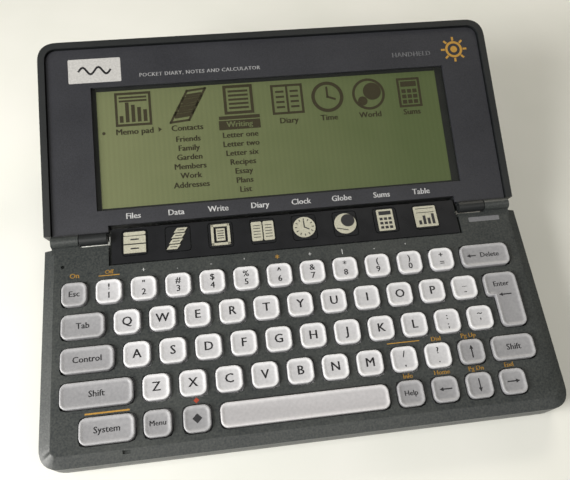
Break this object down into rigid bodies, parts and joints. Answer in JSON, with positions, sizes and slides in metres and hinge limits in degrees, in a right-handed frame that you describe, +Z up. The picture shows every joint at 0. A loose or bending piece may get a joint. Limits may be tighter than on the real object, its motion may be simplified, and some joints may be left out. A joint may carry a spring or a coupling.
{
  "type": "personal digital assistant",
  "caption": "Open clamshell pocket computer: keyboard base, wide display lid on an end hinge, and a battery barrel with a strip of application buttons that rolls under as the lid opens.",
  "frame": {"origin": "on the table, under the middle of the bounding box of the open device", "axes": "+X to the user's right along the hinge, +Y away from the user from keyboard to lid, +Z up"},
  "size_m": [0.165, 0.1434, 0.0419],
  "materials": {
    "case_plastic": "fine moulded texture, satin",
    "bezel_plastic": "fine moulded texture, satin",
    "strip_plastic": "smooth dark film",
    "letter_cap": "satin moulded cap with printed legend",
    "function_cap": "satin moulded cap with printed legend",
    "space_cap": "satin moulded cap",
    "app_button": "satin beige print on film",
    "rubber": "matte",
    "silicone": "matte",
    "circuit_board": "solder mask",
    "port_plastic": "matte",
    "cell_jacket": "printed sleeve",
    "card_plastic": "satin",
    "liquid_crystal": "reflective liquid crystal glass",
    "window_plastic": "clear polished",
    "steel": "plain",
    "plated_steel": "bright plated"
  },
  "bodies": {
    "base": {"lower_case": "case_plastic", "upper_case": "case_plastic", "keyboard_backplate": "steel", "dome_mat": "silicone", "main_board": "circuit_board", "speaker": "port_plastic", "backup_cell": "plated_steel", "serial_port": "port_plastic", "power_jack": "port_plastic", "left_memory_card": "card_plastic", "right_memory_card": "card_plastic", "front_foot_left": "rubber", "front_foot_right": "rubber", "lid_hinge_pin_left": "steel", "lid_hinge_pin_right": "steel", "case_screw_1": "steel", "case_screw_2": "steel", "case_screw_3": "steel", "case_screw_4": "steel"},
    "lid": {"lid_shell": "case_plastic", "lid_bezel": "bezel_plastic", "display_window": "window_plastic", "display_glass": "liquid_crystal"},
    "barrel": {"battery_barrel": "case_plastic", "battery_door": "case_plastic", "battery_cell_left": "cell_jacket", "battery_cell_right": "cell_jacket", "button_strip": "strip_plastic", "rear_foot_left": "rubber", "rear_foot_right": "rubber"},
    "left_card_door": {"left_card_door": "case_plastic"},
    "right_card_door": {"right_card_door": "case_plastic"},
    "number_row_keys": {"number_row_keys": "letter_cap"},
    "top_row_keys": {"top_row_keys": "letter_cap"},
    "home_row_keys": {"home_row_keys": "letter_cap"},
    "bottom_row_keys": {"bottom_row_keys": "letter_cap"},
    "esc_key": {"esc_key": "function_cap"},
    "tab_key": {"tab_key": "function_cap"},
    "control_key": {"control_key": "function_cap"},
    "shift_left_key": {"shift_left_key": "function_cap"},
    "system_key": {"system_key": "function_cap"},
    "menu_key": {"menu_key": "function_cap"},
    "diamond_key": {"diamond_key": "function_cap"},
    "space_key": {"space_key": "space_cap"},
    "help_key": {"help_key": "function_cap"},
    "left_key": {"left_key": "function_cap"},
    "down_key": {"down_key": "function_cap"},
    "right_key": {"right_key": "function_cap"},
    "up_key": {"up_key": "function_cap"},
    "shift_right_key": {"shift_right_key": "function_cap"},
    "delete_key": {"delete_key": "function_cap"},
    "enter_key": {"enter_key": "function_cap"},
    "app_button_1": {"app_button_1": "app_button"},
    "app_button_2": {"app_button_2": "app_button"},
    "app_button_3": {"app_button_3": "app_button"},
    "app_button_4": {"app_button_4": "app_button"},
    "app_button_5": {"app_button_5": "app_button"},
    "app_button_6": {"app_button_6": "app_button"},
    "app_button_7": {"app_button_7": "app_button"},
    "app_button_8": {"app_button_8": "app_button"}
  },
  "joints": [
    {"name": "lid_hinge", "type": "hinge", "parent": "base", "child": "lid", "pos_m": [0, 0.00067, 0.0187], "axis": [1, 0, 0], "range_deg": [0, 166.35]},
    {"name": "barrel_turn", "type": "hinge", "parent": "base", "child": "barrel", "pos_m": [0, -0.00177, 0.01668], "axis": [1, 0, 0], "range_deg": [0, 88]},
    {"name": "left_card_door_hinge", "type": "hinge", "parent": "base", "child": "left_card_door", "pos_m": [-0.08145, -0.04218, 0.00569], "axis": [0, -0.9963, -0.0854], "range_deg": [0, 95]},
    {"name": "right_card_door_hinge", "type": "hinge", "parent": "base", "child": "right_card_door", "pos_m": [0.08145, -0.04218, 0.00569], "axis": [0, 0.9963, 0.0854], "range_deg": [0, 95]},
    {"name": "number_row_press", "type": "slide", "parent": "base", "child": "number_row_keys", "axis": [0, 0.0854, -0.9963], "range_m": [0, 0.0008], "stiffness_N_per_m": 400, "springref_m": -0.0004},
    {"name": "top_row_press", "type": "slide", "parent": "base", "child": "top_row_keys", "axis": [0, 0.0854, -0.9963], "range_m": [0, 0.0008], "stiffness_N_per_m": 400, "springref_m": -0.0004},
    {"name": "home_row_press", "type": "slide", "parent": "base", "child": "home_row_keys", "axis": [0, 0.0854, -0.9963], "range_m": [0, 0.0008], "stiffness_N_per_m": 400, "springref_m": -0.0004},
    {"name": "bottom_row_press", "type": "slide", "parent": "base", "child": "bottom_row_keys", "axis": [0, 0.0854, -0.9963], "range_m": [0, 0.0008], "stiffness_N_per_m": 400, "springref_m": -0.0004},
    {"name": "esc_key_press", "type": "slide", "parent": "base", "child": "esc_key", "axis": [0, 0.0854, -0.9963], "range_m": [0, 0.0008], "stiffness_N_per_m": 400, "springref_m": -0.0004},
    {"name": "tab_key_press", "type": "slide", "parent": "base", "child": "tab_key", "axis": [0, 0.0854, -0.9963], "range_m": [0, 0.0008], "stiffness_N_per_m": 400, "springref_m": -0.0004},
    {"name": "control_key_press", "type": "slide", "parent": "base", "child": "control_key", "axis": [0, 0.0854, -0.9963], "range_m": [0, 0.0008], "stiffness_N_per_m": 400, "springref_m": -0.0004},
    {"name": "shift_left_key_press", "type": "slide", "parent": "base", "child": "shift_left_key", "axis": [0, 0.0854, -0.9963], "range_m": [0, 0.0008], "stiffness_N_per_m": 400, "springref_m": -0.0004},
    {"name": "system_key_press", "type": "slide", "parent": "base", "child": "system_key", "axis": [0, 0.0854, -0.9963], "range_m": [0, 0.0008], "stiffness_N_per_m": 400, "springref_m": -0.0004},
    {"name": "menu_key_press", "type": "slide", "parent": "base", "child": "menu_key", "axis": [0, 0.0854, -0.9963], "range_m": [0, 0.0008], "stiffness_N_per_m": 400, "springref_m": -0.0004},
    {"name": "diamond_key_press", "type": "slide", "parent": "base", "child": "diamond_key", "axis": [0, 0.0854, -0.9963], "range_m": [0, 0.0008], "stiffness_N_per_m": 400, "springref_m": -0.0004},
    {"name": "space_key_press", "type": "slide", "parent": "base", "child": "space_key", "axis": [0, 0.0854, -0.9963], "range_m": [0, 0.0008], "stiffness_N_per_m": 400, "springref_m": -0.0004},
    {"name": "help_key_press", "type": "slide", "parent": "base", "child": "help_key", "axis": [0, 0.0854, -0.9963], "range_m": [0, 0.0008], "stiffness_N_per_m": 400, "springref_m": -0.0004},
    {"name": "left_key_press", "type": "slide", "parent": "base", "child": "left_key", "axis": [0, 0.0854, -0.9963], "range_m": [0, 0.0008], "stiffness_N_per_m": 400, "springref_m": -0.0004},
    {"name": "down_key_press", "type": "slide", "parent": "base", "child": "down_key", "axis": [0, 0.0854, -0.9963], "range_m": [0, 0.0008], "stiffness_N_per_m": 400, "springref_m": -0.0004},
    {"name": "right_key_press", "type": "slide", "parent": "base", "child": "right_key", "axis": [0, 0.0854, -0.9963], "range_m": [0, 0.0008], "stiffness_N_per_m": 400, "springref_m": -0.0004},
    {"name": "up_key_press", "type": "slide", "parent": "base", "child": "up_key", "axis": [0, 0.0854, -0.9963], "range_m": [0, 0.0008], "stiffness_N_per_m": 400, "springref_m": -0.0004},
    {"name": "shift_right_key_press", "type": "slide", "parent": "base", "child": "shift_right_key", "axis": [0, 0.0854, -0.9963], "range_m": [0, 0.0008], "stiffness_N_per_m": 400, "springref_m": -0.0004},
    {"name": "delete_key_press", "type": "slide", "parent": "base", "child": "delete_key", "axis": [0, 0.0854, -0.9963], "range_m": [0, 0.0008], "stiffness_N_per_m": 400, "springref_m": -0.0004},
    {"name": "enter_key_press", "type": "slide", "parent": "base", "child": "enter_key", "axis": [0, 0.0854, -0.9963], "range_m": [0, 0.0008], "stiffness_N_per_m": 400, "springref_m": -0.0004},
    {"name": "app_button_1_press", "type": "slide", "parent": "barrel", "child": "app_button_1", "axis": [0, 0.0854, -0.9963], "range_m": [0, 0.0003], "stiffness_N_per_m": 1000, "springref_m": -0.0001},
    {"name": "app_button_2_press", "type": "slide", "parent": "barrel", "child": "app_button_2", "axis": [0, 0.0854, -0.9963], "range_m": [0, 0.0003], "stiffness_N_per_m": 1000, "springref_m": -0.0001},
    {"name": "app_button_3_press", "type": "slide", "parent": "barrel", "child": "app_button_3", "axis": [0, 0.0854, -0.9963], "range_m": [0, 0.0003], "stiffness_N_per_m": 1000, "springref_m": -0.0001},
    {"name": "app_button_4_press", "type": "slide", "parent": "barrel", "child": "app_button_4", "axis": [0, 0.0854, -0.9963], "range_m": [0, 0.0003], "stiffness_N_per_m": 1000, "springref_m": -0.0001},
    {"name": "app_button_5_press", "type": "slide", "parent": "barrel", "child": "app_button_5", "axis": [0, 0.0854, -0.9963], "range_m": [0, 0.0003], "stiffness_N_per_m": 1000, "springref_m": -0.0001},
    {"name": "app_button_6_press", "type": "slide", "parent": "barrel", "child": "app_button_6", "axis": [0, 0.0854, -0.9963], "range_m": [0, 0.0003], "stiffness_N_per_m": 1000, "springref_m": -0.0001},
    {"name": "app_button_7_press", "type": "slide", "parent": "barrel", "child": "app_button_7", "axis": [0, 0.0854, -0.9963], "range_m": [0, 0.0003], "stiffness_N_per_m": 1000, "springref_m": -0.0001},
    {"name": "app_button_8_press", "type": "slide", "parent": "barrel", "child": "app_button_8", "axis": [0, 0.0854, -0.9963], "range_m": [0, 0.0003], "stiffness_N_per_m": 1000, "springref_m": -0.0001}
  ],
  "couplings": [
    {"joint": "barrel_turn", "follows": "lid_hinge", "ratio": 0.529}
  ]
}
